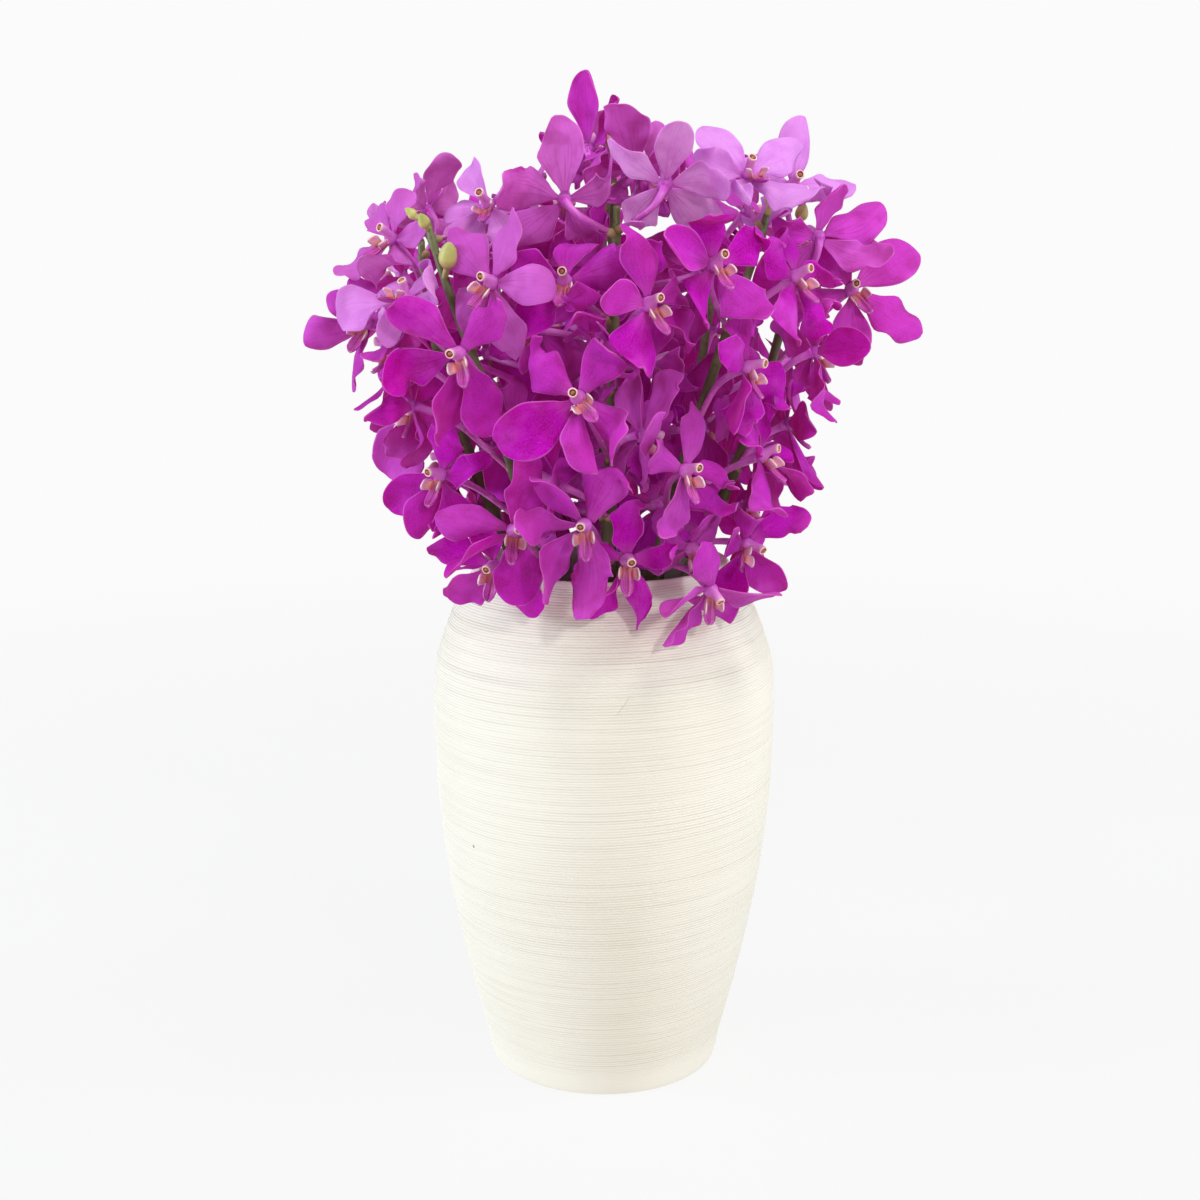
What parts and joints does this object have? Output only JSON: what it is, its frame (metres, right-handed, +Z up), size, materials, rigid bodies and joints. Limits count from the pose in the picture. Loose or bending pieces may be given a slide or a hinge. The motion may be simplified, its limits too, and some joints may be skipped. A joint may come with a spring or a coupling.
{
  "type": "mokara orchid in vase",
  "caption": "Cut mokara orchid sprays, magenta and purple, in a tall rounded cream ceramic vase with fine combed rings, standing in water.",
  "frame": {"origin": "centre of the vase's flat foot, at the level of the table it stands on", "axes": "+Z up through the vase and the bunch; -Y towards the side that the picture shows; +X to that side's right"},
  "size_m": [0.2378, 0.2192, 0.3923],
  "materials": {
    "stoneware": "matt, finely combed",
    "water": "clear",
    "orchid": "satin petals on green stems"
  },
  "bodies": {
    "root": {"vase": "stoneware", "water": "water", "spray_front": "orchid", "spray_front_left": "orchid", "spray_front_right": "orchid", "spray_right": "orchid", "spray_left": "orchid", "spray_back_left": "orchid", "spray_back": "orchid", "spray_back_right": "orchid", "spray_middle": "orchid"}
  },
  "joints": []
}
